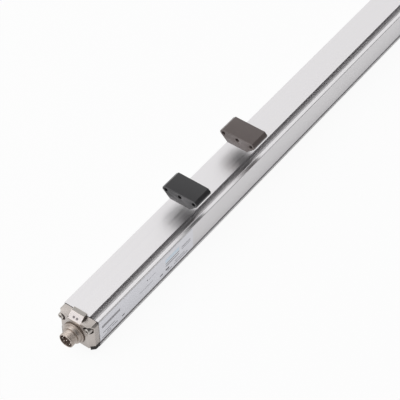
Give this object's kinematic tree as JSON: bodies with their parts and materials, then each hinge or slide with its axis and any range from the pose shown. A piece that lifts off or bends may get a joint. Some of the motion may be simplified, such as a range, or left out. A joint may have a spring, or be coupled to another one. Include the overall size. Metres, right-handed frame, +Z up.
{
  "type": "magnetostrictive linear position sensor",
  "caption": "Rail-shaped linear position sensor with a round plug inlet and status lights at one end, and block magnets that travel over the rail without contact.",
  "frame": {"origin": "on the rail's underside, at its centre line, below the place where the measuring range begins", "axes": "+X along the rail from the inlet to the far end, +Z up from the mounting face to the magnets, -Y towards the side with the clamp groove and the label"},
  "size_m": [0.6816, 0.042, 0.0651],
  "materials": {
    "rail_aluminium": "natural anodised, fine lengthwise lines",
    "cast_metal": "nickel-plated casting, satin",
    "nickel_plate": "bright nickel plate on brass",
    "black_rubber": "matt",
    "screw_steel": "bright stainless",
    "white_plastic": "satin white",
    "clear_plastic": "clear, slightly smoky",
    "black_plastic": "matt",
    "pin_metal": "gold flash",
    "board_green": "solder resist",
    "can_aluminium": "sleeved can",
    "copper": "enamelled copper",
    "ferrite": "sintered",
    "tube_brass": "drawn",
    "magnet_black": "moulded, satin",
    "magnet_brown": "moulded, satin"
  },
  "bodies": {
    "rail_assembly": {"profile_housing": "rail_aluminium", "connector_cap": "cast_metal", "far_cap": "cast_metal", "connector_cap_seal": "black_rubber", "far_cap_seal": "black_rubber", "connector_ring": "black_rubber", "connector_cap_screws": "screw_steel", "far_cap_screws": "screw_steel", "led_window": "white_plastic", "light_guides": "clear_plastic", "connector_shell": "nickel_plate", "connector_lock_nut": "nickel_plate", "connector_insert": "black_plastic", "connector_pins": "pin_metal", "connector_board": "board_green", "main_circuit_board": "board_green", "board_lamps": "clear_plastic", "circuit_chips": "black_plastic", "filter_capacitors": "can_aluminium", "board_plug": "white_plastic", "flat_lead": "clear_plastic", "earth_spring": "screw_steel", "converter_housing": "black_plastic", "coil_bobbin": "white_plastic", "pickup_coil": "copper", "bias_magnet": "ferrite", "waveguide_wire": "screw_steel", "waveguide_tube": "tube_brass", "centring_rings": "black_rubber", "return_wire": "copper", "tube_supports": "black_plastic", "damping_sleeve": "black_rubber", "wire_anchor": "black_plastic", "wire_bridge": "copper"},
    "front_magnet": {"front_magnet_housing": "magnet_black", "front_magnet_bars": "ferrite", "front_magnet_cover": "magnet_black"},
    "rear_magnet": {"rear_magnet_housing": "magnet_brown", "rear_magnet_bars": "ferrite", "rear_magnet_cover": "magnet_brown"}
  },
  "joints": [
    {"name": "front_magnet_travel", "type": "slide", "parent": "rail_assembly", "child": "front_magnet", "axis": [1, 0, 0], "range_m": [-0.08, 0.015]},
    {"name": "rear_magnet_travel", "type": "slide", "parent": "rail_assembly", "child": "rear_magnet", "axis": [1, 0, 0], "range_m": [-0.015, 0.3247]}
  ]
}
